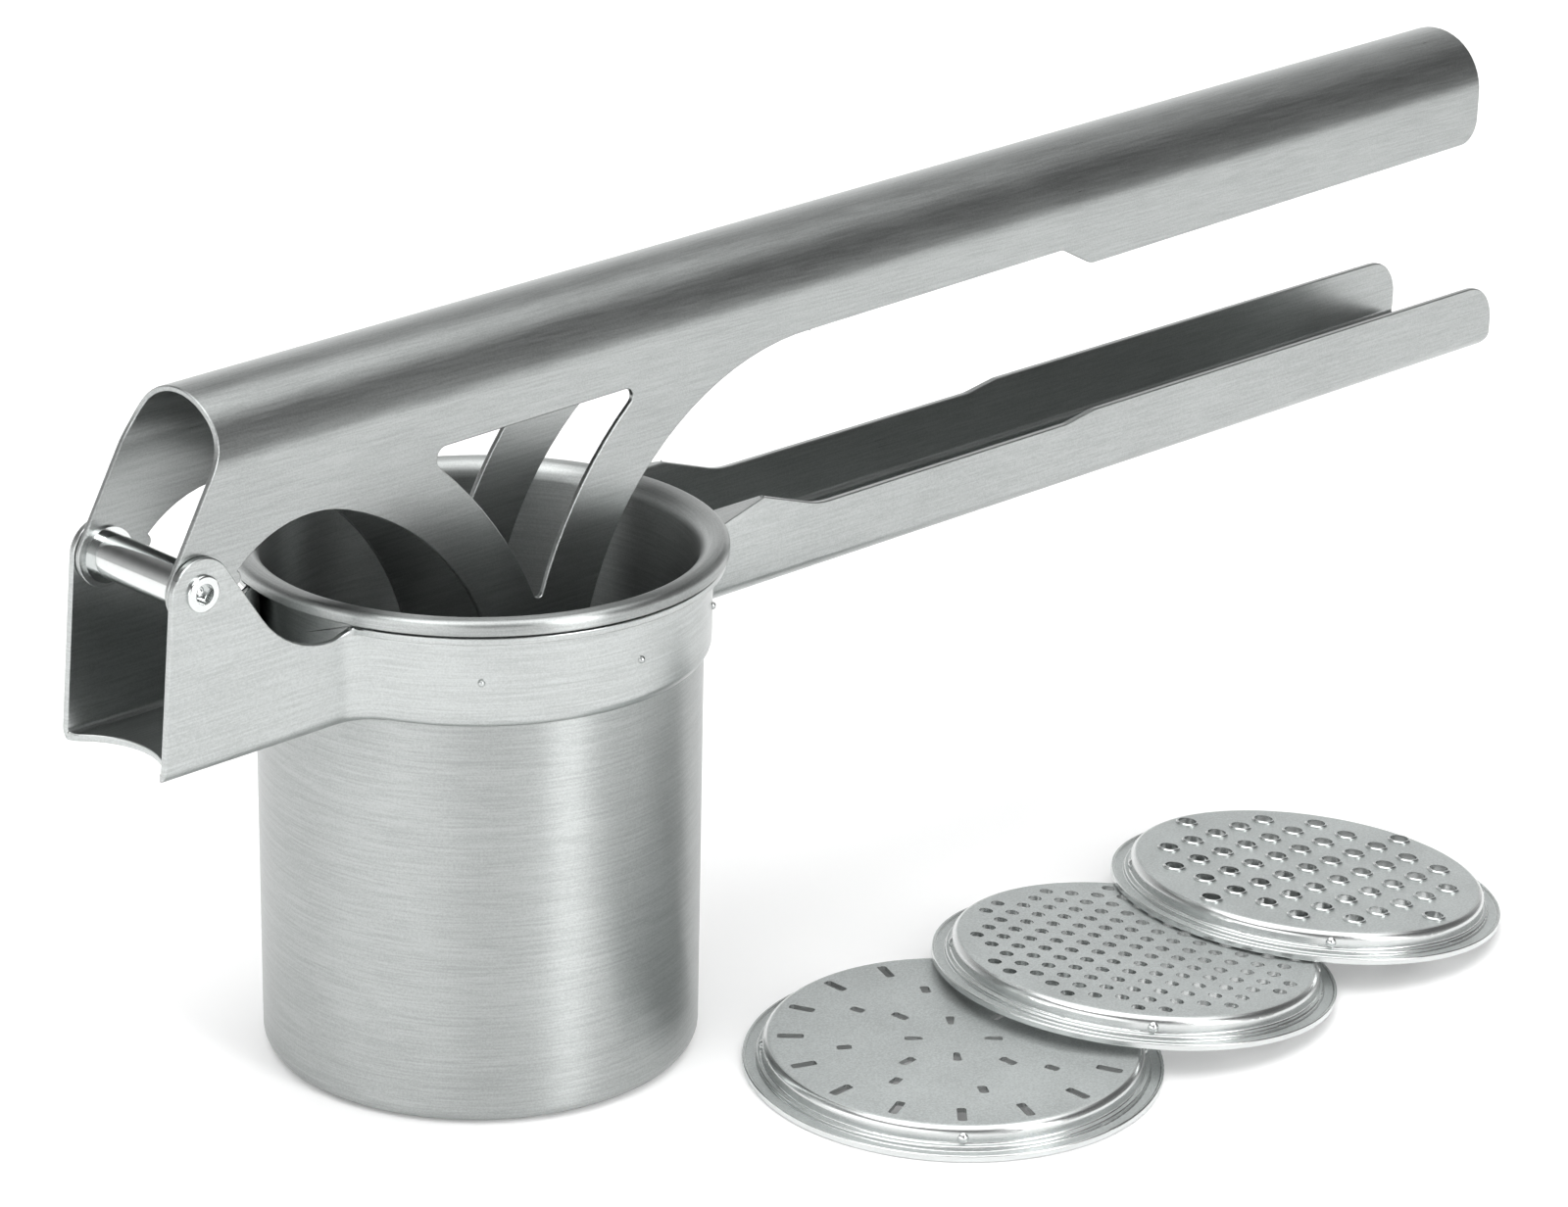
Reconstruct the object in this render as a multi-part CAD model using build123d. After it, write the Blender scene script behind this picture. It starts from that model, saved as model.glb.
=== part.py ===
"""Potato ricer of pressed stainless sheet, with its three interchangeable sieve discs.

The origin is on the axis of the cup, on the surface it stands on. +X runs along the
handles, away from the hinge, and +Z is up. Sizes are in millimetres.
"""
from build123d import *
import math
import os

os.makedirs("parts", exist_ok=True)

# ---- cup ----
cup_radius = 46.0            # outside of the wall
cup_wall = 1.2
cup_height = 111.0           # top of the rolled rim
cup_foot_radius = 3.2        # rounding between the wall and the foot
rim_overhang = 5.0           # from the wall to the outside of the rolled rim
rim_drop = 3.0               # height of the rim's turned-down edge
rim_round = 1.3
rim_flare = 2.4              # rounding where the wall turns out into the rim
rim_edge_rounds = (0.3, 0.4, 0.4)

# ---- sieve discs ----
disc_sheet = 1.0
disc_clearance = 0.5         # between a disc's flange and the inside of the cup
disc_flange = 4.1            # from the raised middle to the edge
disc_ledge = 1.2             # width of the step at the foot of the raised middle
disc_lip = 0.8               # width of the raised edge of the flange
disc_boss_height = 5.6       # from the underside of the flange to the top
disc_roll = 1.7              # rounding of the top edge
disc_lip_clearance = 0.8     # between the raised middle and the opening in the foot
disc_bumps = 4
disc_bump_radius = 1.3       # snap bumps on the side of the raised middle
disc_bump_proud = 0.7
disc_bump_depth = 2.3        # below the top
disc_stack_gap = 0.15        # between a leaning disc and the one it leans on
disc_cup_gap = 10.4          # between the cup and the first disc
disc_bearing = -53.3         # degrees, direction of the first disc from the cup
disc_steps = ((11.0, -2.8), (15.7, -0.5))    # next disc's centre past the edge of this one, and its side step

slot_width = 2.0
slot_round = 0.6
slot_taper = 0.6             # narrow end of a wedge-shaped slot, as a share of its wide end
# Rings of slots: count, radius as a share of the raised middle, length, first angle, wedge-shaped or not.
slot_rings = (
    (16, 0.851, 5.6, 0.0, False),
    (8, 0.587, 3.2, 12.0, False),
    (4, 0.368, 4.0, 2.0, False),
    (4, 0.209, 3.8, 47.0, True),
)
fine_hole = 3.0
fine_pitch = 5.8
fine_turn = -45.0
coarse_hole = 4.2
coarse_pitch = 8.8
collar_wall = 0.55
collar_height = 0.6
collar_chamfer = 0.25
hole_margin = 2.4            # from the outermost holes to the rounding of the top edge

# ---- frame: yoke, band and lower handle in one sheet ----
frame_sheet = 1.5
frame_half_width = 16.0      # outside of the cheeks and of the handle
band_clearance = 0.1         # between the band and the cup
rim_seat_gap = 0.5           # between the seat and the rim's turned-down edge
band_height = 20.5           # from the frame's underside to the seat
frame_bend = 3.0             # outside of the bend between base and walls
seat_width = 2.8
ledge_bearing = 28.0         # degrees from the handle to where the ledges leave the seat
neck_round = 8.0             # reverse bend between cheek and band
handle_end = 331.0
handle_low_drop = 5.5        # from the seat to the handle's wall beside the cup
handle_high_drop = 4.0       # from the seat to the handle's wall along the grip
shoulder_reach = 18.9        # from the band to where the handle's wall starts to fall
shoulder_run = 17.0
handle_step = 170.0
handle_step_run = 10.0
handle_end_round = 10.0
pivot_reach = 36.0           # from the band to the lever's hinge
pivot_rise = 12.5            # of that hinge above the rim
cheek_ear_radius = 6.9
cheek_front_reach = 10.2     # from the hinge to the front edge of the yoke
yoke_fall = 56.0             # degrees, slope of the cheek's edge behind the ear
yoke_dip_drop = 1.8          # from the seat to the lowest point of the cheek's top edge
yoke_dip_reach = 3.8         # from the band to where that edge rises to the seat
yoke_rise_run = 4.8
yoke_dip_round = 20.0
shoulder_rounds = (3.0, 3.0, 5.0, 20.0)
step_round = 6.0
handle_toe_round = 4.0
web_cut_depth = 7.5          # hollow in the front edge of the yoke's base
weld_count = 3
weld_pitch = 41.5
weld_radius = 0.8
weld_margin = 2.0            # from the weld marks' trim to the band's edges

# ---- lever: heights are from its hinge ----
lever_sheet = 1.2
cheek_clearance = 0.2        # between the lever and the cheeks
lever_rise = 1.415           # degrees, crown line towards the grip
crown_rise = 36.8            # of the crown above the hinge, over the cup's axis
lever_front_reach = 8.1      # from the hinge to the front edge
lever_front_lean = (0.6, 27.0)    # where the front edge starts to lean: forward of the crown, above the hinge
lever_front_round = 14.0
lever_end = 320.5
lever_end_round = 6.0
lever_neck_depth = 21.2      # from the crown to the lower edge
lever_grip_depth = 26.4
lever_grip_start = 168.0
lever_step_run = 10.0
lever_step_round = 4.0
lever_ear_radius = 6.7
lever_heel = (9.0, 0.3, 1.6)      # rounded corner behind the ear: behind and above the hinge, radius
arch_top_radius = 27.0
arch_top_centre = (28.1, -18.3)   # behind and above the hinge
arch_side_radius = 59.5
arch_turn = 19.0             # degrees from upright where the arch's two arcs meet
leg_back_centre = (81.2, -49.2)
window_front_centre = (-88.2, -64.8)
window_front_radius = 99.6
leg_back_width = 14.6        # from the window to the rear edge of the leg
window_top_depth = 21.6      # from the crown to the window's top edge
window_span = (-35.0, 30.0)  # the window's middle lies between these
window_rounds = (2.4, 1.8, 1.3)

# ---- hinge of the lever ----
rivet_radius = 3.0
rivet_head_overhang = 0.7
rivet_head = 0.8
rivet_head_round = 0.48
rivet_wall = 0.9             # around the hollow in the rivet's end
rivet_hollow_depth = 2.4
rivet_dome = 0.62            # dome in the hollow, as a share of the hollow's radius
rivet_fit = 0.02             # in the sheet that it is riveted to
running_fit = 0.05
sleeve_wall = 1.5
washer_thickness = 0.8
washer_overhang = 1.1        # beyond the sleeve

# ---- plunger ----
plunger_x = 3.5
plunger_drop = 46.5          # of its hinge below the lever's
leg_tip_radius = 10.0
plunger_rivet_radius = 2.5
plunger_rivet_head_overhang = 0.9
plunger_gap = 0.15           # each side of the washers between plunger and lever
plunger_washer = 0.6
bracket_sheet = 1.5
bracket_ear_radius = 6.5
bracket_width = 24.0         # of the ears where they leave the base
plate_sheet = 1.5
plate_wall_gap = 10.0        # between the plate and the inside of the cup
plate_centre_x = -4.0
plate_lift = 4.0             # above the foot when the lever is down
plate_skirt = 6.0
plate_rounds = (2.5, 0.5, 0.5, 1.0)
plate_rivet_radius = 1.8
plate_rivet_head = 1.0
plate_rivet_head_radius = 3.06
plate_rivet_pitch = 11.0
plate_rivet_pitch_x = 8.8

cup_inside = cup_radius - cup_wall
rim_radius = cup_radius + rim_overhang
disc_radius = cup_inside - disc_clearance
disc_boss_radius = disc_radius - disc_flange
flat_radius = disc_boss_radius - disc_roll
opening_radius = disc_boss_radius + disc_lip_clearance
seat_height = cup_height - rim_drop - rim_seat_gap
frame_base = seat_height - band_height
band_inside = cup_radius + band_clearance
band_radius = band_inside + frame_sheet
pivot_x = -(band_radius + pivot_reach)
cheek_inside = frame_half_width - frame_sheet
cheek_front = pivot_x - cheek_front_reach
pivot_z = cup_height + pivot_rise
plunger_z = pivot_z - plunger_drop
lever_front = pivot_x + lever_front_reach
lever_half_width = cheek_inside - cheek_clearance
lever_inside = lever_half_width - lever_sheet
sleeve_radius = rivet_radius + sleeve_wall
bracket_half_width = lever_inside - plunger_washer - 2 * plunger_gap
plate_radius = cup_inside - plate_wall_gap
plate_top = plate_lift + plate_sheet
far = 400.0                  # beyond every edge of the part


def round_points(points, radii):
    """Closed face through points, with each corner rounded by its own radius."""
    count = len(points)
    starts, arcs = [], []
    for i in range(count):
        corner = Vector(*points[i])
        before = (Vector(*points[i - 1]) - corner).normalized()
        after = (Vector(*points[(i + 1) % count]) - corner).normalized()
        half = math.radians(before.get_angle(after)) / 2
        radius = radii[i]
        if radius == 0:
            starts.append((corner, corner))
            arcs.append(None)
            continue
        reach = radius / math.tan(half)
        centre = corner + (before + after).normalized() * (radius / math.sin(half))
        middle = centre + (corner - centre).normalized() * radius
        starts.append((corner + before * reach, corner + after * reach))
        arcs.append(middle)
    edges = []
    for i in range(count):
        begin, finish = starts[i]
        if arcs[i] is not None:
            edges.append(ThreePointArc(begin, arcs[i], finish))
        following = starts[(i + 1) % count][0]
        if (following - finish).length > 1e-6:
            edges.append(Line(finish, following))
    return make_face(Wire(edges))


def revolved(points, radii):
    """Body of revolution about Z from a closed outline in radius and height."""
    return revolve(Plane.XZ * round_points(points, radii), Axis.Z)


def side_prism(face, half_depth):
    """Face in X and Z pushed out both ways along Y."""
    return extrude(Plane.XZ * face, half_depth, both=True)


def barrel(radius, length, x, z, y=0.0):
    """Cylinder along Y, centred at x, y, z."""
    return Pos(x, y, z) * (Rot(90, 0, 0) * Cylinder(radius, length))


def crown(x):
    """Height of the lever's crown line at x."""
    return pivot_z + crown_rise + x * math.tan(math.radians(lever_rise))


def circle_face(centre, radius):
    return Pos(*centre) * Circle(radius)


# ---------------------------------------------------------------- cup
def make_cup():
    outline = [
        (opening_radius, 0),
        (cup_radius, 0),
        (cup_radius, cup_height - cup_wall),
        (rim_radius - cup_wall, cup_height - cup_wall),
        (rim_radius - cup_wall, cup_height - rim_drop),
        (rim_radius, cup_height - rim_drop),
        (rim_radius, cup_height),
        (cup_inside, cup_height),
        (cup_inside, cup_wall),
        (opening_radius, cup_wall),
    ]
    rounds = [0, cup_foot_radius, rim_flare, *rim_edge_rounds, rim_round, rim_flare + cup_wall,
              cup_foot_radius - cup_wall, 0]
    return revolved(outline, rounds)


# ---------------------------------------------------------------- frame
def frame_plan(inset):
    """Plan of the sheet's outer face, or of its inner face when inset by the sheet."""
    radius = band_radius - inset
    half = frame_half_width - inset
    bend = neck_round + inset
    across = half + bend
    along = math.sqrt((radius + bend) ** 2 - across ** 2)
    share = radius / (radius + bend)
    ring = (along * share, across * share)
    sweep = math.atan2(across - ring[1], along - ring[0])
    middle = (along - bend * math.cos((sweep + math.pi / 2) / 2),
              across - bend * math.sin((sweep + math.pi / 2) / 2))
    corner = (along, half)
    edges = []
    for sx, sy in ((1, 1), (-1, 1), (-1, -1), (1, -1)):
        arc = [(sx * p[0], sy * p[1]) for p in (ring, middle, corner)]
        edges.append(ThreePointArc(*arc))
        edges.append(Line(arc[2], (sx * far, sy * half)))
    for sy in (1, -1):
        edges.append(ThreePointArc((ring[0], sy * ring[1]), (0, sy * radius), (-ring[0], sy * ring[1])))
    for sx in (1, -1):
        edges.append(Line((sx * far, half), (sx * far, -half)))
    return make_face(Wire(edges))


def frame_tub(inset, base, bend):
    """Solid under the plan of one face of the sheet, with its lower edge bent."""
    tub = Pos(0, 0, base) * extrude(frame_plan(inset), 2 * cup_height)
    lower = [edge for edge in tub.edges().group_by(Axis.Z)[0] if abs(edge.center().X) < far - 1]
    return fillet(lower, bend)


def frame_side():
    """Outline of the frame seen from the side."""
    ear = Vector(pivot_x, pivot_z)
    toe = Vector(cheek_front, frame_base)
    reach = (ear - toe).length
    rise = math.atan2(ear.Y - toe.Y, ear.X - toe.X) + math.asin(cheek_ear_radius / reach)
    fall = -math.radians(yoke_fall)
    up = Vector(math.cos(rise), math.sin(rise))
    down = Vector(math.cos(fall), math.sin(fall))
    back = ear + Vector(-down.Y, down.X) * cheek_ear_radius
    # The ear is the corner where the front and back edges meet, rounded about the pivot.
    gap = back - toe
    along = (gap.X * down.Y - gap.Y * down.X) / (up.X * down.Y - up.Y * down.X)
    peak = toe + up * along
    dip = seat_height - yoke_dip_drop
    dip_x = back.X + (dip - back.Y) / math.tan(fall)
    dip_end = -band_radius - yoke_dip_reach
    shoulder = band_radius + shoulder_reach
    low = seat_height - handle_low_drop
    high = seat_height - handle_high_drop
    points = [
        (cheek_front, frame_base),
        (peak.X, peak.Y),
        (dip_x, dip),
        (dip_end, dip),
        (dip_end + yoke_rise_run, seat_height),
        (shoulder, seat_height),
        (shoulder + shoulder_run, low),
        (handle_step - handle_step_run / 2, low),
        (handle_step + handle_step_run / 2, high),
        (handle_end, high),
        (handle_end, frame_base),
    ]
    rounds = [0, cheek_ear_radius, yoke_dip_round, *shoulder_rounds, step_round, step_round,
              handle_end_round, handle_toe_round]
    return round_points(points, rounds)


def make_frame():
    outer = frame_tub(0, frame_base, frame_bend)
    inner = frame_tub(frame_sheet, frame_base + frame_sheet, frame_bend - frame_sheet)
    shell = (outer - inner) & side_prism(frame_side(), cup_radius * 2)
    shell -= Pos(0, 0, frame_base) * Cylinder(band_inside, 4 * frame_bend)
    hollow = (cheek_inside ** 2 + web_cut_depth ** 2) / (2 * web_cut_depth)
    notch = Pos(cheek_front + web_cut_depth - hollow, 0, frame_base) * Cylinder(hollow, 4 * frame_sheet)
    shell -= notch & Box(far, 2 * cheek_inside, far)
    seat = Pos(0, 0, seat_height - frame_sheet / 2) * Cylinder(band_radius + seat_width, frame_sheet)
    bearing = math.radians(ledge_bearing)
    ledge_x = (band_radius + seat_width) * math.cos(bearing)
    ledge_y = (band_radius + seat_width) * math.sin(bearing)
    shoulder = band_radius + shoulder_reach
    for side in (1, -1):
        ledge = Polyline((0, 0), (0, side * ledge_y), (ledge_x, side * ledge_y),
                         (shoulder, side * frame_half_width), (shoulder, 0), close=True)
        seat += Pos(0, 0, seat_height - frame_sheet) * extrude(make_face(ledge), frame_sheet)
    seat -= Pos(0, 0, frame_base) * extrude(frame_plan(frame_sheet / 2), cup_height)
    shell += seat
    shell -= barrel(rivet_radius + rivet_fit, 4 * frame_half_width, pivot_x, pivot_z)
    middle = (frame_base + seat_height) / 2
    for side in (1, -1):
        for number in range(weld_count):
            angle = math.radians(90 + weld_pitch * (number - 1))
            place = Pos(band_radius * math.cos(angle), side * band_radius * math.sin(angle), middle)
            shell += place * Sphere(weld_radius)
    shell -= Pos(0, 0, middle) * Cylinder(band_inside, band_height - 2 * weld_margin)
    return shell


# ---------------------------------------------------------------- lever
def from_pivot(point):
    """Point given by its own x and its height from the hinge."""
    return (point[0], pivot_z + point[1])


def lever_edge(x, depth):
    """Point at x, a depth below the crown."""
    return (x, crown(x) - depth)


def ear_tangent(start):
    """Where the front edge, leaning from a start point, runs into the lever's ear."""
    ear = Vector(pivot_x, pivot_z)
    reach = ear - Vector(*start)
    angle = math.atan2(reach.Y, reach.X) - math.asin(lever_ear_radius / reach.length)
    length = math.sqrt(reach.length ** 2 - lever_ear_radius ** 2)
    return (start[0] + length * math.cos(angle), start[1] + length * math.sin(angle))


def lever_blank():
    """Side walls before the arch and the window are cut."""
    lean = (lever_front - lever_front_lean[0], pivot_z + lever_front_lean[1])
    back_x = leg_back_centre[0]
    above = crown(lever_end) + lever_half_width
    points = [
        (lever_front, above),
        lean,
        ear_tangent(lean),
        (pivot_x, pivot_z),
        (pivot_x, plunger_z),
        (back_x, plunger_z),
        lever_edge(back_x, lever_neck_depth),
        lever_edge(lever_grip_start - lever_step_run / 2, lever_neck_depth),
        lever_edge(lever_grip_start + lever_step_run / 2, lever_grip_depth),
        lever_edge(lever_end, lever_grip_depth),
        (lever_end, above),
    ]
    rounds = [0, lever_front_round, 0, 0, 0, 0, 0, lever_step_round, lever_step_round, lever_end_round, 0]
    return round_points(points, rounds)


def lever_arch():
    """Opening between the ear and the front leg: two tangent arcs, open at the bottom."""
    top = (pivot_x + arch_top_centre[0], pivot_z + arch_top_centre[1])
    turn = math.radians(arch_turn)
    meet = (top[0] + arch_top_radius * math.sin(turn), top[1] + arch_top_radius * math.cos(turn))
    side = (meet[0] - arch_side_radius * math.sin(turn), meet[1] - arch_side_radius * math.cos(turn))
    split = Pos(meet[0] - far / 2, 0) * Rectangle(far, far * 2)
    arch = circle_face(top, arch_top_radius) & split
    side_circle = circle_face(side, arch_side_radius)
    arch += side_circle - split
    heel = pivot_z + lever_heel[1] - lever_heel[2]
    below = Pos((meet[0] - far) / 2, heel - far / 2) * Rectangle(meet[0] + far, far)
    front = Pos((top[0] - far) / 2, heel - far / 2) * Rectangle(top[0] + far, far)
    return arch + (below & side_circle) + front


def lever_window(back_radius):
    """Window between the legs, under a line parallel to the crown."""
    left, right = -abs(pivot_x) / 2, abs(pivot_x) / 2
    window = make_face(Polyline((left, plunger_z), (right, plunger_z), lever_edge(right, window_top_depth),
                                lever_edge(left, window_top_depth), close=True))
    window -= circle_face(from_pivot(window_front_centre), window_front_radius)
    window -= circle_face(from_pivot(leg_back_centre), back_radius + leg_back_width)
    window = Sketch() + [face for face in window.faces()
                         if window_span[0] < face.center().X < window_span[1]]
    corners = window.vertices().sort_by(Axis.X)
    lowest = window.vertices().sort_by(Axis.Y)[0]
    for corner, radius in ((lowest, window_rounds[2]), (corners[0], window_rounds[0]),
                           (corners[-1], window_rounds[1])):
        nearest = window.vertices().sort_by_distance((corner.X, corner.Y, 0))[0]
        window = fillet(nearest, radius)
    return window


def lever_side():
    """Outline of the lever's side walls."""
    # The rear of the leg is an arc that runs into the lower edge of the neck.
    back = from_pivot(leg_back_centre)
    back_radius = (lever_edge(back[0], lever_neck_depth)[1] - back[1]) * math.cos(math.radians(lever_rise))
    blank = lever_blank() - circle_face(back, back_radius) - lever_arch()
    blank += circle_face((pivot_x, pivot_z), lever_ear_radius)
    heel_x, heel_z, heel_radius = pivot_x + lever_heel[0], pivot_z + lever_heel[1], lever_heel[2]
    blank += circle_face((heel_x, heel_z), heel_radius)
    blank += Pos((pivot_x + heel_x) / 2, heel_z) * Rectangle(heel_x - pivot_x, 2 * heel_radius)
    blank += circle_face((plunger_x, plunger_z), leg_tip_radius)
    return blank - lever_window(back_radius)


def crown_tube(inset):
    """Inside or outside of the lever's inverted channel, as a long solid."""
    half = lever_half_width - inset
    section = Pos(0, -lever_half_width) * Circle(half)
    section += Pos(0, -lever_half_width - far / 2) * Rectangle(2 * half, far)
    angle = math.radians(lever_rise)
    start = -far / 2
    along = (math.cos(angle), 0, math.sin(angle))
    across = Plane(origin=(start, 0, crown(start)), x_dir=(0, 1, 0), z_dir=along)
    return extrude(across * section, 2 * far)


def make_lever():
    shell = (crown_tube(0) - crown_tube(lever_sheet)) & side_prism(lever_side(), 2 * lever_half_width)
    shell -= barrel(rivet_radius + running_fit, 4 * lever_half_width, pivot_x, pivot_z)
    shell -= barrel(plunger_rivet_radius + rivet_fit, 4 * lever_half_width, plunger_x, plunger_z)
    return shell


# ---------------------------------------------------------------- rivets, sleeves, washers
def tubular_rivet(radius, head_radius, half_grip, x, z):
    """Rivet along Y with a domed, hollow head on the outside of each wall."""
    rivet = barrel(radius, 2 * half_grip, x, z)
    for side in (1, -1):
        head = barrel(head_radius, rivet_head, x, z, side * (half_grip + rivet_head / 2))
        rim = [edge for edge in head.edges() if abs(edge.center().Y) > half_grip + rivet_head / 2]
        rivet += fillet(rim, rivet_head_round)
        end = side * (half_grip + rivet_head)
        hollow = radius - rivet_wall
        rivet -= barrel(hollow, 2 * rivet_hollow_depth, x, z, end)
        rivet += Pos(x, end - side * rivet_hollow_depth, z) * Sphere(hollow * rivet_dome)
    return rivet


def ring(outer, inner, thickness, x, z, y):
    return barrel(outer, thickness, x, z, y) - barrel(inner, 2 * thickness, x, z, y)


# ---------------------------------------------------------------- plunger
def make_bracket():
    """Upright strap with an ear each side of the base, hung from the lever's leg tips."""
    half = bracket_half_width
    base_x = plate_centre_x
    side = [(base_x - bracket_width / 2, plate_top), (base_x + bracket_width / 2, plate_top),
            (plunger_x + bracket_ear_radius, plunger_z), (plunger_x - bracket_ear_radius, plunger_z)]
    ear = make_face(Polyline(*side, close=True)) + circle_face((plunger_x, plunger_z), bracket_ear_radius)
    height = plunger_z + bracket_ear_radius - plate_top
    block = Pos(0, 0, plate_top + height / 2) * Box(far, 2 * half, height)
    block = fillet(block.edges().filter_by(Axis.X).group_by(Axis.Z)[0], 2 * bracket_sheet)
    room = Box(2 * far, 2 * (half - bracket_sheet), height)
    room = Pos(0, 0, plate_top + bracket_sheet + height / 2) * room
    room = fillet(room.edges().filter_by(Axis.X).group_by(Axis.Z)[0], bracket_sheet)
    strap = (block - room) & side_prism(ear, 2 * half)
    strap -= barrel(plunger_rivet_radius + running_fit, 4 * half, plunger_x, plunger_z)
    for place in plate_rivet_places():
        strap -= Pos(*place, plate_top) * Cylinder(plate_rivet_radius + rivet_fit, 6 * bracket_sheet)
    return strap


def plate_rivet_places():
    return [(plate_centre_x + sx * plate_rivet_pitch_x / 2, sy * plate_rivet_pitch / 2)
            for sx in (1, -1) for sy in (1, -1)]


def make_plate():
    inside = plate_radius - plate_sheet
    skirt_top = plate_lift + plate_skirt
    outline = [(0, plate_lift), (plate_radius, plate_lift), (plate_radius, skirt_top),
               (inside, skirt_top), (inside, plate_top), (0, plate_top)]
    plate = Pos(plate_centre_x, 0, 0) * revolved(outline, [0, *plate_rounds, 0])
    for place in plate_rivet_places():
        plate -= Pos(*place, plate_lift) * Cylinder(plate_rivet_radius + rivet_fit, 6 * plate_sheet)
    return plate


def make_plate_rivets():
    shank = plate_sheet + bracket_sheet
    upright = (Align.CENTER, Align.CENTER, Align.MIN)
    head = Cylinder(plate_rivet_head_radius, plate_rivet_head, align=upright)
    head = fillet(head.edges().group_by(Axis.Z)[-1], 0.6 * plate_rivet_head)
    body = Cylinder(plate_rivet_radius, shank, align=upright)
    rivets = []
    for place in plate_rivet_places():
        rivets.append(Pos(*place, plate_lift) * (body + Pos(0, 0, shank) * head))
    return Compound(children=rivets)


# ---------------------------------------------------------------- discs
def disc_blank():
    """Sieve disc without holes: flange below, raised middle above, centred on Z."""
    sheet = disc_sheet
    ledge = disc_boss_radius + disc_ledge
    outline = [
        (0, disc_boss_height),
        (disc_boss_radius, disc_boss_height),
        (disc_boss_radius, 2 * sheet),
        (ledge, 2 * sheet),
        (ledge, sheet),
        (disc_radius - disc_lip, sheet),
        (disc_radius - disc_lip, 1.5 * sheet),
        (disc_radius, 1.5 * sheet),
        (disc_radius, 0),
        (ledge - sheet, 0),
        (ledge - sheet, sheet),
        (disc_boss_radius - sheet, sheet),
        (disc_boss_radius - sheet, disc_boss_height - sheet),
        (0, disc_boss_height - sheet),
    ]
    small = 0.3 * sheet
    rounds = [0, disc_roll, 0.4, 0.4, small, small / 2, small, small, small, small, small, 0.2,
              disc_roll - sheet, 0]
    blank = revolved(outline, rounds)
    reach = disc_boss_radius + disc_bump_proud - disc_bump_radius
    for number in range(disc_bumps):
        angle = math.radians(45 + 360 * number / disc_bumps)
        bump = Pos(reach * math.cos(angle), reach * math.sin(angle), disc_boss_height - disc_bump_depth)
        blank += bump * Sphere(disc_bump_radius)
    return blank


def slotted_disc():
    disc = disc_blank()
    for count, share, length, first, wedge in slot_rings:
        wide = slot_width / 2
        narrow = wide * slot_taper if wedge else wide
        end = length / 2
        outline = make_face(Polyline((-end, -narrow), (end, -wide), (end, wide), (-end, narrow), close=True))
        cutter = extrude(fillet(outline.vertices(), slot_round), 3 * disc_sheet, both=True)
        for number in range(count):
            turn = Rot(0, 0, first + 360 * number / count)
            disc -= turn * (Pos(share * disc_boss_radius, 0, disc_boss_height) * cutter)
    return disc


def grid_places(pitch, row, shift, radius):
    """Points of a regular grid inside a radius."""
    places = []
    reach = int(radius / row) + 1
    for j in range(-reach, reach + 1):
        for i in range(-reach - 1, reach + 2):
            x = pitch * (i + shift * (j % 2))
            y = row * j
            if math.hypot(x, y) <= radius:
                places.append((x, y))
    return places


def pierced_disc(places, hole, turn, collar):
    disc = disc_blank()
    top = disc_boss_height
    cutters = []
    collars = []
    for x, y in places:
        spot = Rot(0, 0, turn) * Pos(x, y, top)
        cutters.append(spot * Cylinder(hole / 2, 6 * disc_sheet))
        if collar:
            ring_part = Cylinder(hole / 2 + collar_wall, 2 * collar_height)
            ring_part = chamfer(ring_part.edges().group_by(Axis.Z)[-1], collar_chamfer)
            collars.append(spot * ring_part)
    if collars:
        disc += collars
    return disc - cutters


def lay_disc(disc, centre, tilt):
    """Disc leaning with its far edge on the ground and its near edge raised."""
    lift = disc_radius * math.sin(math.radians(tilt))
    return Pos(centre[0], centre[1], lift) * (Rot(0, tilt, 0) * disc)


def lean_angle(span, height):
    """Tilt that lifts the underside of a flange to a height at a distance from its low edge."""
    return math.degrees(math.atan2(height, span))


def save(part, name):
    export_step(part, os.path.join("parts", name + ".step"))


# ---------------------------------------------------------------- build
save(make_cup(), "press_cup")
save(make_frame(), "yoke_frame")
save(make_lever(), "lever")

save(tubular_rivet(rivet_radius, rivet_radius + rivet_head_overhang, frame_half_width, pivot_x, pivot_z),
     "lever_rivet")
sleeve_half = lever_inside - washer_thickness
save(ring(sleeve_radius, rivet_radius + running_fit, 2 * sleeve_half, pivot_x, pivot_z, 0), "lever_sleeve")
for side, word in ((-1, "near"), (1, "far")):
    place = side * (sleeve_half + washer_thickness / 2)
    save(ring(sleeve_radius + washer_overhang, rivet_radius + running_fit, washer_thickness, pivot_x, pivot_z,
              place), "lever_washer_" + word)

save(tubular_rivet(plunger_rivet_radius, plunger_rivet_radius + plunger_rivet_head_overhang, lever_half_width,
                   plunger_x, plunger_z), "plunger_rivet")
for side, word in ((-1, "near"), (1, "far")):
    place = side * (lever_inside - plunger_gap / 2 - plunger_washer / 2)
    save(ring(bracket_ear_radius, plunger_rivet_radius + running_fit, plunger_washer, plunger_x, plunger_z,
              place), "plunger_washer_" + word)
save(make_bracket(), "plunger_bracket")
spacer_half = bracket_half_width - bracket_sheet
save(ring(plunger_rivet_radius + sleeve_wall, plunger_rivet_radius + running_fit, 2 * spacer_half, plunger_x,
          plunger_z, 0), "plunger_sleeve")
save(make_plate(), "plunger_plate")
save(make_plate_rivets(), "plate_rivets")

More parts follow.
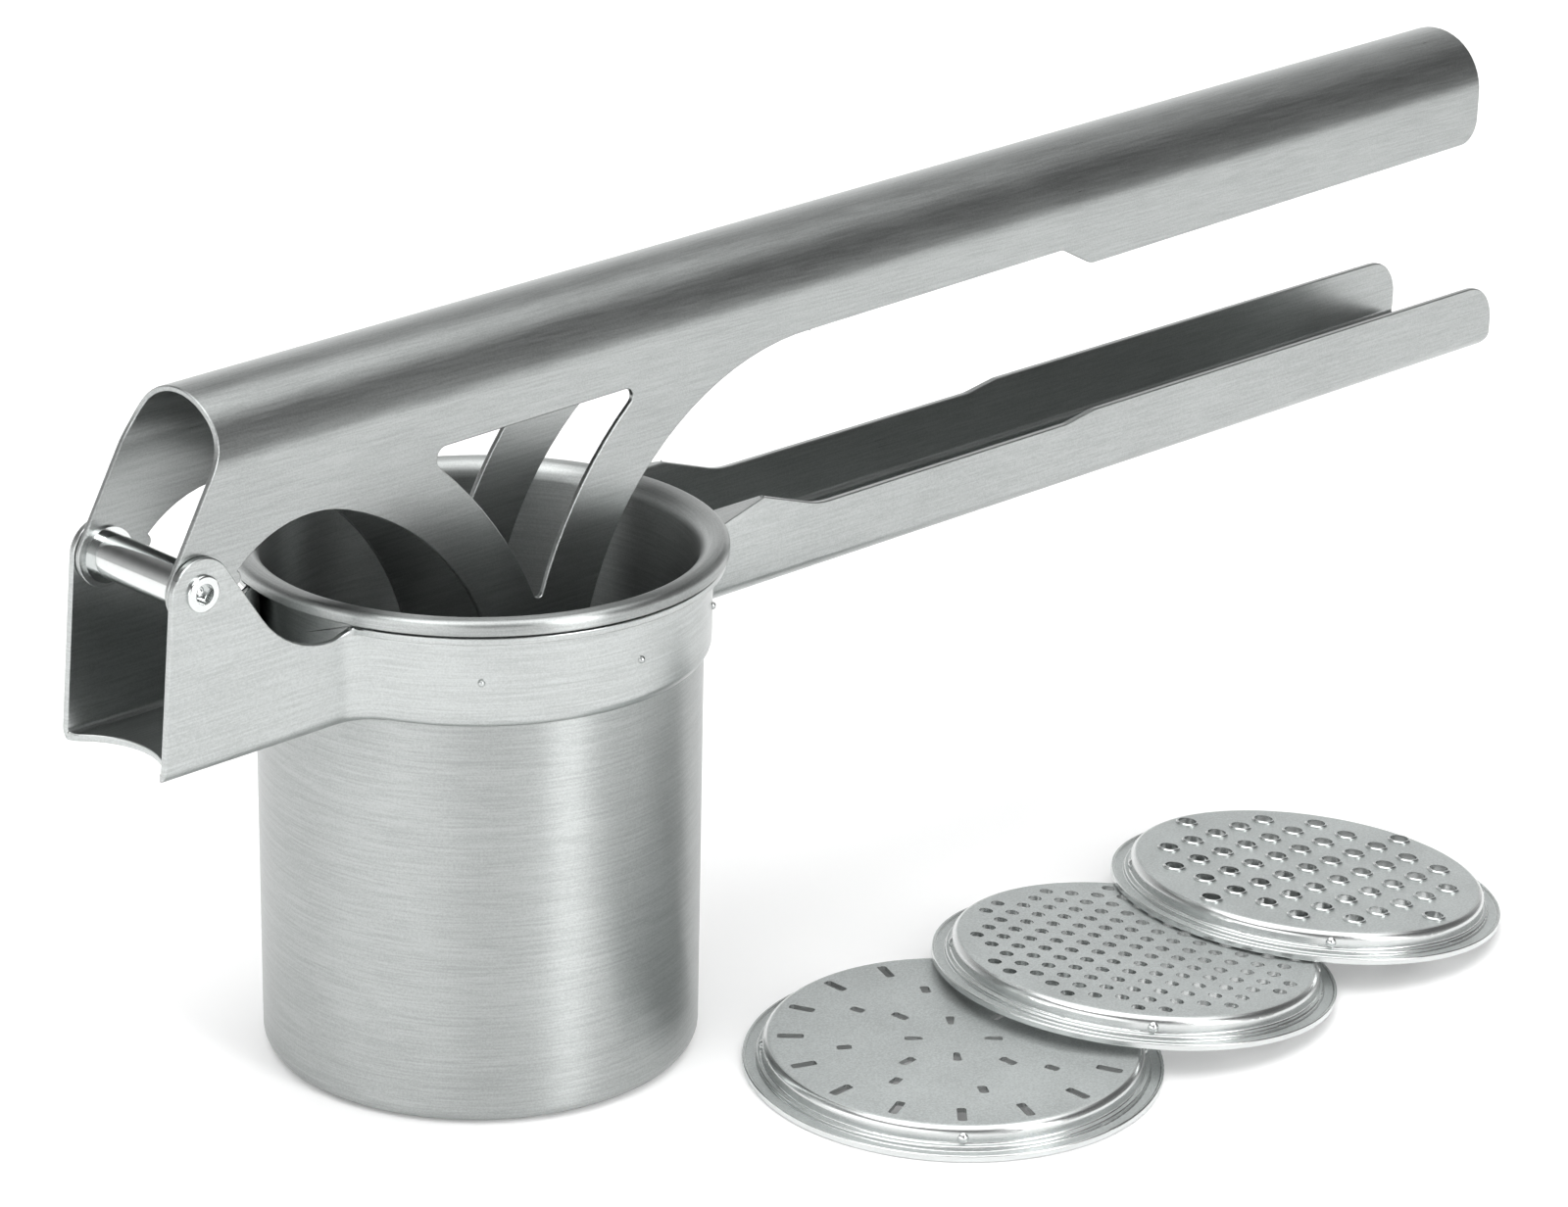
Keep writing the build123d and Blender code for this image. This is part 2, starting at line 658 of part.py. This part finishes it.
# The second disc leans on the first and the third leans on the second.
(first_step, first_side), (second_step, second_side) = disc_steps
first_lean = lean_angle(2 * disc_radius + first_step - flat_radius, disc_boss_height + disc_stack_gap)
rise = math.radians(first_lean)
second_edge = (disc_radius - flat_radius) * math.sin(rise) + disc_boss_height * math.cos(rise)
second_lean = lean_angle(2 * disc_radius + second_step - flat_radius, second_edge + 3 * disc_stack_gap)
bearing = math.radians(disc_bearing)
distance = cup_radius + disc_cup_gap + disc_radius
first_centre = (distance * math.cos(bearing), distance * math.sin(bearing))
second_centre = (first_centre[0] + disc_radius + first_step, first_centre[1] + first_side)
third_centre = (second_centre[0] + disc_radius + second_step, second_centre[1] + second_side)
hole_field = flat_radius - hole_margin
fine = grid_places(fine_pitch, fine_pitch * math.sqrt(3) / 2, 0.5, hole_field)
coarse = grid_places(coarse_pitch, coarse_pitch, 0.0, hole_field)
save(lay_disc(slotted_disc(), first_centre, 0), "slotted_disc")
save(lay_disc(pierced_disc(fine, fine_hole, fine_turn, False), second_centre, first_lean), "fine_disc")
save(lay_disc(pierced_disc(coarse, coarse_hole, 0, True), third_centre, second_lean), "coarse_disc")
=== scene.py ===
import math

import bmesh
import bpy
from bpy.props import FloatProperty, FloatVectorProperty, IntProperty, PointerProperty
from bpy.types import Operator, Panel, PropertyGroup
from mathutils import Matrix, Vector
from mathutils.bvhtree import BVHTree
from mathutils.interpolate import poly_3d_calc


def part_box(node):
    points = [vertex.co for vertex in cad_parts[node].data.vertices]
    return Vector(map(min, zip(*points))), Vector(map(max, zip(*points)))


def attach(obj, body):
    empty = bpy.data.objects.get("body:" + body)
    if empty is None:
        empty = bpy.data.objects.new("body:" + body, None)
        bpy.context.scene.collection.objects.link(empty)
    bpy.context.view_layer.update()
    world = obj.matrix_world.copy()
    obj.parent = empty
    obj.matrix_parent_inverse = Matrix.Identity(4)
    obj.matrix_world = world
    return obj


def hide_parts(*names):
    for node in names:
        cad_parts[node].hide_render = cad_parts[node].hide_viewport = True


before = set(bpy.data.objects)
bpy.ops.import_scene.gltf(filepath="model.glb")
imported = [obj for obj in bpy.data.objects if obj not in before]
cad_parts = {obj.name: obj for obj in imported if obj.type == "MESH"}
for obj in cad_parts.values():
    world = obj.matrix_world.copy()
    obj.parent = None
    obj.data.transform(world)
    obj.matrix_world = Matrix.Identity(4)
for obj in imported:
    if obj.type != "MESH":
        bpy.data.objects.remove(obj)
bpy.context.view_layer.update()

bl_info = {
    "name": "Potato Ricer",
    "version": (1, 0, 0),
    "blender": (4, 5, 0),
    "location": "View3D > Sidebar > Ricer",
    "description": "Builds the finishes, shells and studio of a stainless potato ricer",
    "category": "Object",
}

MM = 0.001


# ---------------------------------------------------------------- shader expressions
class Value:
    """A socket that can be added, multiplied and compared like a number."""

    def __init__(self, tree, node, output):
        self.tree = tree
        self.node = node
        self.socket = node.outputs[output] if node.outputs else None

    def out(self, output):
        """Another output of the same node."""
        return Value(self.tree, self.node, output)

    def _math(self, operation, *values):
        return self.tree.add("ShaderNodeMath", {"operation": operation}, values)

    def __add__(self, other):
        return self._math("ADD", self, other)

    def __radd__(self, other):
        return self._math("ADD", other, self)

    def __sub__(self, other):
        return self._math("SUBTRACT", self, other)

    def __rsub__(self, other):
        return self._math("SUBTRACT", other, self)

    def __mul__(self, other):
        return self._math("MULTIPLY", self, other)

    def __rmul__(self, other):
        return self._math("MULTIPLY", other, self)

    def __truediv__(self, other):
        return self._math("DIVIDE", self, other)

    def __abs__(self):
        return self._math("ABSOLUTE", self)

    def root(self):
        return self._math("SQRT", self)

    def above(self, limit):
        return self._math("GREATER_THAN", self, limit)

    def rise(self, start, end):
        """Smooth step from 0 at start to 1 at end."""
        values = {"Value": self, "From Min": start, "From Max": end}
        return self.tree.add("ShaderNodeMapRange", {"interpolation_type": "SMOOTHSTEP"}, values)


class Nodes:
    """Wraps a node tree, so that each node is one call."""

    def __init__(self, tree):
        self.tree = tree
        self.tree.nodes.clear()

    def connect(self, value, socket):
        if isinstance(value, Value):
            self.tree.links.new(value.socket, socket)
        elif socket.type == "RGBA":
            socket.default_value = (*value[:3], 1.0)
        else:
            socket.default_value = value

    def add(self, kind, settings=None, values=(), output=0):
        """One node: its settings first, then the values or links of its sockets."""
        node = self.tree.nodes.new(kind)
        for key, setting in (settings or {}).items():
            setattr(node, key, setting)
        pairs = values.items() if isinstance(values, dict) else enumerate(values)
        for key, value in pairs:
            self.connect(value, node.inputs[key])
        return Value(self, node, output)

    def split(self, vector):
        parts = self.add("ShaderNodeSeparateXYZ", None, [vector])
        return [parts, parts.out(1), parts.out(2)]

    def vector(self, x, y, z):
        return self.add("ShaderNodeCombineXYZ", None, [x, y, z])

    def noise(self, vector, scale, detail=2.0, roughness=0.5):
        values = {"Vector": vector, "Scale": scale, "Detail": detail, "Roughness": roughness}
        return self.add("ShaderNodeTexNoise", None, values)

    def mix(self, factor, first, second):
        """Mix of two colours."""
        return self.add("ShaderNodeMix", {"data_type": "RGBA"}, {0: factor, 6: first, 7: second}, output=2)


class Finish(Nodes):
    """Node tree of one material, with a Principled shader at its end."""

    def __init__(self, name, **constants):
        self.material = bpy.data.materials.new(name)
        self.material.use_nodes = True
        super().__init__(self.material.node_tree)
        shader = self.add("ShaderNodeBsdfPrincipled")
        self.surface = shader.node
        self.add("ShaderNodeOutputMaterial", None, {"Surface": shader})
        self.set(**constants)

    def set(self, **values):
        """Constants and links of the Principled shader, by socket name with _ for a space."""
        for key, value in values.items():
            self.connect(value, self.surface.inputs[key.replace("_", " ")])

    def place(self):
        """Position on the object in metres, as three values."""
        return self.split(self.add("ShaderNodeTexCoord", output="Object"))

    def facing(self):
        """Components of the surface's own normal, as three values."""
        return self.split(self.add("ShaderNodeNewGeometry", output="Normal"))

    def bump(self, height, strength, distance):
        values = {"Strength": strength, "Distance": distance, "Height": height}
        return self.add("ShaderNodeBump", None, values)


def shade(colour, factor):
    """Darker or lighter colour."""
    return tuple(min(channel * factor, 1.0) for channel in colour)


# ---------------------------------------------------------------- settings
class FinishSettings(PropertyGroup):
    """Colours and roughness of the steel."""

    sheet_colour: FloatVectorProperty(
        name="Sheet colour", description="Colour of the brushed sheet", subtype="COLOR",
        size=3, min=0, max=1, default=(0.412, 0.428, 0.423))
    cup_colour: FloatVectorProperty(
        name="Cup colour", description="Colour of the brushed cup", subtype="COLOR",
        size=3, min=0, max=1, default=(0.412, 0.428, 0.423))
    disc_colour: FloatVectorProperty(
        name="Disc colour", description="Colour of the matt disc faces", subtype="COLOR",
        size=3, min=0, max=1, default=(0.575, 0.602, 0.597))
    polish_colour: FloatVectorProperty(
        name="Polished colour", description="Colour of rivets, sleeves and sheet edges", subtype="COLOR",
        size=3, min=0, max=1, default=(0.78, 0.80, 0.795))
    brushed_roughness: FloatProperty(
        name="Brushed roughness", description="Roughness of the brushed sheet", default=0.30, min=0, max=1)
    cup_roughness: FloatProperty(
        name="Cup roughness", description="Roughness of the brushed cup", default=0.36, min=0, max=1)
    cup_stretch: FloatProperty(
        name="Cup highlight stretch", description="How far highlights on the cup stretch upright",
        default=0.85, min=0, max=1)
    disc_roughness: FloatProperty(
        name="Disc roughness", description="Roughness of the matt disc faces", default=0.56, min=0, max=1)
    polished_roughness: FloatProperty(
        name="Polished roughness", description="Roughness of polished steel", default=0.12, min=0, max=1)
    edge_round: FloatProperty(
        name="Edge rounding", description="Width of the polished rounding along sheet edges",
        default=0.30 * MM, min=0, unit="LENGTH")


class StageSettings(PropertyGroup):
    """Lit floor, lights and camera."""

    floor_colour: FloatVectorProperty(
        name="Floor colour", description="Colour of the paper floor", subtype="COLOR",
        size=3, min=0, max=1, default=(0.93, 0.93, 0.93))
    floor_glow: FloatProperty(
        name="Floor glow", description="Light that the lit table gives by itself", default=0.10, min=0)
    key_power: FloatProperty(
        name="Key light", description="Power of the large light on the hinge side", default=5.0, min=0,
        unit="POWER")
    room_light: FloatProperty(
        name="Room light", description="Strength of the light from all round", default=1.0, min=0)
    camera_place: FloatVectorProperty(
        name="Camera place", description="Where the camera stands", size=3, subtype="TRANSLATION",
        default=(-0.5401, -0.6047, 0.4025))
    heading: FloatProperty(
        name="Heading", description="Direction the camera looks, clockwise from +Y", subtype="ANGLE",
        default=math.radians(46.17))
    pitch: FloatProperty(
        name="Pitch", description="How far the camera looks down", subtype="ANGLE",
        default=math.radians(20.68))
    roll: FloatProperty(
        name="Roll", description="Lean of the camera about its own axis", subtype="ANGLE",
        default=math.radians(1.375))
    lens: FloatProperty(
        name="Focal length", description="Focal length on a 36 mm wide sensor", default=96.94, min=1,
        unit="CAMERA")


class MeshSettings(PropertyGroup):
    """How finely the turned pieces are divided."""

    turns: IntProperty(
        name="Divisions", description="Divisions round the cup", default=288, min=24)


# ---------------------------------------------------------------- finishes
def brushed(finish, lines, strokes, colour, roughness, depth=1.0, painted_dimming=1.0):
    """Fine parallel lines, broken into strokes, over a slow cloudiness; the colour is painted brighter, as
    painted light, where the last argument is 0.
    """
    x, y, z = finish.place()
    fine = finish.noise(lines, 1.0, 3.0, 0.7)
    coarse = finish.noise(strokes, 1.0, 2.0, 0.5)
    cloud = finish.noise(finish.vector(x, y, z), 38.0, 2.0, 0.5)
    grain = finish.noise(finish.vector(x, y, z), 2600.0, 1.0, 0.5)
    tone = fine * 0.50 + coarse * 0.08 + cloud * 0.12 + grain * 0.30
    # Painted light: both ends of the grain tone are painted about a fifth brighter where the last argument is
    # 0, standing in for light the sheet reflects there.
    dark = finish.mix(painted_dimming, shade(colour, 1.02), shade(colour, 0.84))
    light = finish.mix(painted_dimming, shade(colour, 1.36), shade(colour, 1.14))
    finish.set(Base_Color=finish.mix(tone.rise(0.34, 0.66), dark, light))
    finish.set(Roughness=fine * 0.10 + cloud * 0.04 + (roughness - 0.07))
    finish.set(Normal=finish.bump(fine + coarse * 0.2, 0.30 * depth, 0.02 * MM))


def brushed_along(name, settings, colour):
    """Sheet brushed along X, as on the lever."""
    finish = Finish(name, Metallic=1.0, IOR=2.5)
    x, y, z = finish.place()
    lines = finish.vector(x * 70.0, y * 2100.0, z * 2100.0)
    strokes = finish.vector(x * 14.0, y * 420.0, z * 420.0)
    brushed(finish, lines, strokes, colour, settings.brushed_roughness)
    return finish.material


def brushed_level(name, settings, colour):
    """Sheet brushed level along its walls, as on the frame, with the yoke and band painted brighter than the
    handle beyond them, as painted light.
    """
    finish = Finish(name, Metallic=1.0, IOR=2.5)
    x, y, z = finish.place()
    flat = abs(finish.facing()[2]).above(0.7)
    lines = finish.vector(x * 70.0, y * (60.0 + flat * 2040.0), z * 2100.0)
    strokes = finish.vector(x * 14.0, y * (12.0 + flat * 400.0), z * 420.0)
    # Painted light: this mask is 0 on the yoke and band, before 3 cm along X, and 1 on the handle past 11 cm.
    # The yoke and band get their colour painted brighter, standing in for the light they reflect.
    painted_dim_grip = x.rise(0.03, 0.11)
    brushed(finish, lines, strokes, colour, settings.brushed_roughness, 1.0, painted_dim_grip)
    return finish.material


def brushed_round(name, settings, colour):
    """Sheet brushed round the Z axis, as on the cup, with its highlights stretched upright."""
    finish = Finish(name, Metallic=1.0, IOR=2.5, Anisotropic=settings.cup_stretch, Anisotropic_Rotation=0.25)
    x, y, z = finish.place()
    radius = (x * x + y * y).root() + 1e-6
    height = z + radius * 1.3
    lines = finish.vector(x / radius * 3.4, y / radius * 3.4, height * 2100.0)
    strokes = finish.vector(x / radius * 0.8, y / radius * 0.8, height * 420.0)
    brushed(finish, lines, strokes, colour, settings.cup_roughness, 0.7)
    return finish.material


def matt_disc(name, settings):
    """Pressed disc: matt on the faces that lie flat, smoother on its walls, beads and collars."""
    finish = Finish(name, Metallic=1.0, IOR=2.5)
    x, y, z = finish.place()
    grain = finish.noise(finish.vector(x, y, z), 2200.0, 2.0, 0.6)
    cloud = finish.noise(finish.vector(x, y, z), 60.0, 3.0, 0.55)
    flat = finish.facing()[2].rise(0.90, 0.99)
    colour = tuple(settings.disc_colour)
    tone = finish.mix((grain * 0.7 + cloud * 0.3).rise(0.3, 0.7), shade(colour, 0.86), shade(colour, 1.12))
    wall = finish.mix(cloud, shade(settings.polish_colour, 0.72), shade(settings.polish_colour, 0.95))
    finish.set(Base_Color=finish.mix(flat, wall, tone))
    finish.set(Roughness=cloud * 0.08 + 0.20 + flat * (settings.disc_roughness - 0.24))
    finish.set(Normal=finish.bump(grain * flat, 0.35, 0.02 * MM))
    return finish.material


def polished(name, settings):
    """Polished steel with faint turning lines and smears."""
    finish = Finish(name, Metallic=1.0, IOR=2.5)
    x, y, z = finish.place()
    lines = finish.noise(finish.vector(x * 30.0, y * 1700.0, z * 30.0), 1.0, 2.0, 0.5)
    smear = finish.noise(finish.vector(x, y, z), 420.0, 3.0, 0.6)
    finish.set(Roughness=smear * 0.10 + lines * 0.04 + (settings.polished_roughness - 0.05))
    colour = tuple(settings.polish_colour)
    finish.set(Base_Color=finish.mix(smear, shade(colour, 0.88), colour))
    finish.set(Normal=finish.bump(lines, 0.12, 0.02 * MM))
    return finish.material


# ---------------------------------------------------------------- mesh tools
def new_piece(name, mesh, materials, body, slot, *nodes):
    """Object from a finished mesh, on its body, standing for its CAD nodes."""
    piece = bpy.data.objects.new(name, mesh)
    bpy.context.scene.collection.objects.link(piece)
    mesh.materials.clear()
    for material in materials:
        mesh.materials.append(material)
    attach(piece, body)
    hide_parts(*nodes)
    return piece


def surface_normals(source):
    """Function that gives the CAD surface's own smooth normal at a point near it."""
    corners = [vertex.co.copy() for vertex in source.vertices]
    faces = [tuple(polygon.vertices) for polygon in source.polygons]
    tree = BVHTree.FromPolygons(corners, faces)

    def normal_at(point, facing):
        best = None
        for place, normal, index, distance in tree.find_nearest_range(point, 0.6 * MM):
            if normal.dot(facing) > 0.85 and (best is None or distance < best[0]):
                best = (distance, index, place)
        if best is None:
            return facing
        polygon = source.polygons[best[1]]
        weights = poly_3d_calc([corners[i] for i in polygon.vertices], best[2])
        smooth = Vector((0, 0, 0))
        for weight, loop in zip(weights, polygon.loop_indices):
            smooth += weight * source.corner_normals[loop].vector
        return smooth.normalized()

    return normal_at


def long_sharp_edges(work, sharp, shortest=8 * MM):
    """Sharp edges in runs longer than a weld mark's outline, which stays as it is."""
    left = {edge for edge in work.edges if edge.is_manifold and edge.calc_face_angle() > sharp}
    kept = []
    while left:
        run = [left.pop()]
        for edge in run:
            for vertex in edge.verts:
                joined = [other for other in vertex.link_edges if other in left]
                left.difference_update(joined)
                run.extend(joined)
        if sum(edge.calc_length() for edge in run) > shortest:
            kept.extend(run)
    return kept


def softened(node, name, round_width, segments=2, sharp=math.radians(32)):
    """Copy of a CAD node's mesh with its sharp sheet edges rounded; edge faces take the second material."""
    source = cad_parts[node].data
    work = bmesh.new()
    work.from_mesh(source)
    bmesh.ops.remove_doubles(work, verts=work.verts, dist=2e-6)
    bmesh.ops.dissolve_limit(work, angle_limit=math.radians(0.1), verts=work.verts, edges=work.edges)
    for face in work.faces:
        face.smooth = True
        face.material_index = 0
    bmesh.ops.bevel(work, geom=long_sharp_edges(work, sharp), offset=round_width, offset_type="OFFSET",
                    segments=segments, profile=0.5, affect="EDGES", clamp_overlap=False, material=1)
    work.normal_update()
    normal_at = surface_normals(source)
    normals = []
    for vertex in work.verts:
        sheet = [face for face in vertex.link_faces if face.material_index == 0]
        if sheet:
            widest = max(sheet, key=lambda face: face.calc_area())
            normals.append(normal_at(vertex.co, widest.normal))
        else:
            normals.append(vertex.normal.copy())
    mesh = bpy.data.meshes.new(name)
    work.to_mesh(mesh)
    work.free()
    mesh.normals_split_custom_set_from_vertices(normals)
    return mesh


def turned(name, outline, divisions):
    """Mesh turned about Z from a closed outline of (radius, height) in metres."""
    work = bmesh.new()
    rings = []
    for step in range(divisions):
        angle = 2 * math.pi * step / divisions
        rings.append([work.verts.new((r * math.cos(angle), r * math.sin(angle), h)) for r, h in outline])
    count = len(outline)
    for step in range(divisions):
        first, second = rings[step], rings[(step + 1) % divisions]
        for i in range(count):
            j = (i + 1) % count
            work.faces.new((first[i], second[i], second[j], first[j])).smooth = True
    bmesh.ops.recalc_face_normals(work, faces=work.faces)
    mesh = bpy.data.meshes.new(name)
    work.to_mesh(mesh)
    work.free()
    return mesh


def rounded_outline(corners, steps=7):
    """Points along a closed outline whose corners (radius, height, rounding) are arcs."""
    points = []
    count = len(corners)
    for i in range(count):
        here = Vector(corners[i][:2])
        before = (Vector(corners[i - 1][:2]) - here).normalized()
        after = (Vector(corners[(i + 1) % count][:2]) - here).normalized()
        rounding = corners[i][2]
        if rounding <= 0:
            points.append(tuple(here))
            continue
        half = before.angle(after) / 2
        reach = rounding / math.tan(half)
        start, end = here + before * reach, here + after * reach
        centre = here + (before + after).normalized() * (rounding / math.sin(half))
        first, last = start - centre, end - centre
        sweep = math.atan2(first.x * last.y - first.y * last.x, first.dot(last))
        for step in range(steps + 1):
            turn = Matrix.Rotation(sweep * step / steps, 2)
            points.append(tuple(centre + turn @ first))
    return points


def repaint(node, material):
    """Gives a CAD node a finish and keeps its own shape."""
    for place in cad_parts[node].material_slots:
        place.material = material


# ---------------------------------------------------------------- operators
class RicerOperator:
    """Common settings of the ricer's operators."""

    bl_options = {"REGISTER", "UNDO"}

    @property
    def finish(self):
        return bpy.context.scene.ricer_finish


class RICER_OT_cup(RicerOperator, Operator):
    """Turns the press cup with its rolled rim and brushes it round"""

    bl_idname = "ricer.cup"
    bl_label = "Press cup"

    def execute(self, context):
        low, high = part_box("press_cup")
        rim, top = high.x, high.z
        wall = 1.2 * MM
        overhang = 5.0 * MM
        edge = top - 3.0 * MM
        outside = rim - overhang
        inside = outside - wall
        lip = 41.0 * MM
        flare = 2.4 * MM
        corners = [
            (lip, 0, 0.3 * MM), (outside, 0, 3.2 * MM), (outside, top - wall, flare),
            (rim - wall, top - wall, 0.3 * MM), (rim - wall, edge, 0.45 * MM),
            (rim, edge, 0.45 * MM), (rim, top, 1.3 * MM), (inside, top, flare + wall),
            (inside, wall, 2.0 * MM), (lip, wall, 0.3 * MM),
        ]
        mesh = turned("cup_shell", rounded_outline(corners), context.scene.ricer_mesh.turns)
        finish = brushed_round("cup steel, brushed round", self.finish, tuple(self.finish.cup_colour))
        new_piece("cup_shell", mesh, [finish], "frame", "cup_steel", "press_cup")
        return {"FINISHED"}


class RICER_OT_frame(RicerOperator, Operator):
    """Rounds the sheet edges of the frame and brushes its walls level"""

    bl_idname = "ricer.frame"
    bl_label = "Frame"

    def execute(self, context):
        mesh = softened("yoke_frame", "frame_shell", self.finish.edge_round)
        sheet = brushed_level("frame steel, brushed level", self.finish, tuple(self.finish.sheet_colour))
        edge = polished("frame edge, polished", self.finish)
        new_piece("frame_shell", mesh, [sheet, edge], "frame", "frame_steel", "yoke_frame")
        return {"FINISHED"}


class RICER_OT_lever(RicerOperator, Operator):
    """Rounds the sheet edges of the lever and brushes it lengthwise"""

    bl_idname = "ricer.lever"
    bl_label = "Lever"

    def execute(self, context):
        mesh = softened("lever", "lever_shell", self.finish.edge_round)
        sheet = brushed_along("lever steel, brushed lengthwise", self.finish, tuple(self.finish.sheet_colour))
        edge = polished("lever edge, polished", self.finish)
        new_piece("lever_shell", mesh, [sheet, edge], "lever", "lever_steel", "lever")
        return {"FINISHED"}


class RICER_OT_fittings(RicerOperator, Operator):
    """Polishes the rivets, sleeves and washers"""

    bl_idname = "ricer.fittings"
    bl_label = "Rivets and sleeves"

    def execute(self, context):
        finish = polished("rivet steel, polished", self.finish)
        names = ["lever_rivet", "lever_sleeve", "lever_washer_near", "lever_washer_far", "plunger_rivet",
                 "plunger_sleeve", "plunger_washer_near", "plunger_washer_far", "plate_rivets"]
        for name in names:
            repaint(name, finish)
        return {"FINISHED"}


class RICER_OT_plunger(RicerOperator, Operator):
    """Finishes the plunger's bracket and pressing plate"""

    bl_idname = "ricer.plunger"
    bl_label = "Plunger"

    def execute(self, context):
        colour = tuple(self.finish.sheet_colour)
        bracket = softened("plunger_bracket", "bracket_shell", self.finish.edge_round)
        sheet = brushed_level("plunger steel, brushed level", self.finish, colour)
        edge = polished("plunger edge, polished", self.finish)
        new_piece("bracket_shell", bracket, [sheet, edge], "plunger", "plunger_steel", "plunger_bracket")
        plate = brushed_round("plate steel, turned", self.finish, colour)
        repaint("plunger_plate", plate)
        return {"FINISHED"}


class RICER_OT_discs(RicerOperator, Operator):
    """Gives the sieve discs their matt faces and bright pressed edges"""

    bl_idname = "ricer.discs"
    bl_label = "Sieve discs"

    def execute(self, context):
        for name in ("slotted_disc", "fine_disc", "coarse_disc"):
            repaint(name, matt_disc(name.replace("_", " ") + " steel, matt", self.finish))
        return {"FINISHED"}


class RICER_OT_stage(Operator):
    """Lays the paper floor and sets the lights, the room light and the camera"""

    bl_idname = "ricer.stage"
    bl_label = "Studio"

    def execute(self, context):
        settings = context.scene.ricer_stage
        self.floor(settings)
        self.room(settings)
        self.lights(settings)
        self.camera(settings)
        context.scene.view_settings.view_transform = "Standard"
        return {"FINISHED"}

    def floor(self, settings):
        work = bmesh.new()
        bmesh.ops.create_grid(work, x_segments=4, y_segments=4, size=20.0)
        mesh = bpy.data.meshes.new("paper_floor")
        work.to_mesh(mesh)
        work.free()
        floor = bpy.data.objects.new("paper_floor", mesh)
        floor.location.z = -0.1 * MM
        bpy.context.scene.collection.objects.link(floor)
        finish = Finish("paper", Roughness=0.9, Specular_IOR_Level=0.1, Emission_Color=(1.0, 1.0, 1.0),
                        Emission_Strength=settings.floor_glow)
        x, y, z = finish.place()
        fibre = finish.noise(finish.vector(x, y, z), 900.0, 3.0, 0.6)
        colour = tuple(settings.floor_colour)
        finish.set(Base_Color=finish.mix(fibre, shade(colour, 0.99), colour))
        mesh.materials.append(finish.material)

    def room(self, settings):
        """Light from all round: pale low down and behind, bright overhead, a wide panel on the hinge side
        and a narrow upright one in front, dark to the right."""
        world = bpy.data.worlds.new("studio room")
        bpy.context.scene.world = world
        world.use_nodes = True
        nodes = Nodes(world.node_tree)
        x, y, z = nodes.split(nodes.add("ShaderNodeTexCoord", output="Generated"))
        level = (x * x + y * y).root() + 1e-4

        def towards(bearing, narrow, wide):
            """1 within a narrow angle of a bearing from +X, falling to 0 at the wide one, in degrees."""
            turn = math.radians(bearing)
            along = (x * math.cos(turn) + y * math.sin(turn)) / level
            return along.rise(math.cos(math.radians(wide)), math.cos(math.radians(narrow)))

        low = 1.0 - z.rise(0.05, 0.62)
        middle = z.rise(-0.1, 0.1) * (1.0 - z.rise(0.60, 0.85))
        # Bearings run from +X towards +Y; the dark side lies between the handles' end and the discs.
        dark = towards(-22, 25, 60)
        light = 0.11 + low * 0.50 * (1.0 - dark * 0.75)
        light = light + (1.0 - z.rise(0.35, 0.85)) * towards(50, 15, 60) * 0.50
        light = light + low * towards(182, 15, 45) * 2.6
        light = light + middle * towards(-87, 3, 12) * 8.0
        light = light + z.rise(0.70, 0.95) * 2.4
        background = nodes.add("ShaderNodeBackground", None, [light, settings.room_light])
        nodes.add("ShaderNodeOutputWorld", None, {"Surface": background})

    def lights(self, settings):
        self.area("key_light", (-0.85, -0.05, 1.55), (0.05, 0.0, 0.05), 0.9, settings.key_power)

    def area(self, name, place, target, size, power):
        light = bpy.data.lights.new(name, "AREA")
        light.shape = "SQUARE"
        light.size = size
        light.energy = power
        lamp = bpy.data.objects.new(name, light)
        lamp.location = place
        aim = Vector(target) - Vector(place)
        lamp.rotation_euler = aim.to_track_quat("-Z", "Y").to_euler()
        bpy.context.scene.collection.objects.link(lamp)

    def camera(self, settings):
        data = bpy.data.cameras.new("camera")
        data.sensor_width = 36.0
        data.lens = settings.lens
        data.clip_end = 50.0
        camera = bpy.data.objects.new("camera", data)
        turn = Matrix.Rotation(-settings.heading, 4, "Z")
        turn = turn @ Matrix.Rotation(math.pi / 2 - settings.pitch, 4, "X")
        turn = turn @ Matrix.Rotation(settings.roll, 4, "Z")
        camera.matrix_world = Matrix.Translation(settings.camera_place) @ turn
        bpy.context.scene.collection.objects.link(camera)
        bpy.context.scene.camera = camera


class RICER_PT_panel(Panel):
    """Lists the steps that build the ricer"""

    bl_idname = "RICER_PT_panel"
    bl_label = "Potato Ricer"
    bl_space_type = "VIEW_3D"
    bl_region_type = "UI"
    bl_category = "Ricer"

    def draw(self, context):
        for step in STEPS:
            self.layout.operator(step.bl_idname)
        for group in (context.scene.ricer_finish, context.scene.ricer_stage, context.scene.ricer_mesh):
            box = self.layout.box()
            for name in group.__annotations__:
                box.prop(group, name)


STEPS = (RICER_OT_cup, RICER_OT_frame, RICER_OT_lever, RICER_OT_fittings, RICER_OT_plunger, RICER_OT_discs,
         RICER_OT_stage)
GROUPS = (FinishSettings, StageSettings, MeshSettings)


def register():
    for kind in (*GROUPS, *STEPS, RICER_PT_panel):
        bpy.utils.register_class(kind)
    bpy.types.Scene.ricer_finish = PointerProperty(type=FinishSettings)
    bpy.types.Scene.ricer_stage = PointerProperty(type=StageSettings)
    bpy.types.Scene.ricer_mesh = PointerProperty(type=MeshSettings)


def unregister():
    del bpy.types.Scene.ricer_finish
    del bpy.types.Scene.ricer_stage
    del bpy.types.Scene.ricer_mesh
    for kind in reversed((*GROUPS, *STEPS, RICER_PT_panel)):
        bpy.utils.unregister_class(kind)


def main():
    register()
    for step in STEPS:
        section, call = step.bl_idname.split(".")
        getattr(getattr(bpy.ops, section), call)()


if __name__ == "__main__":
    main()
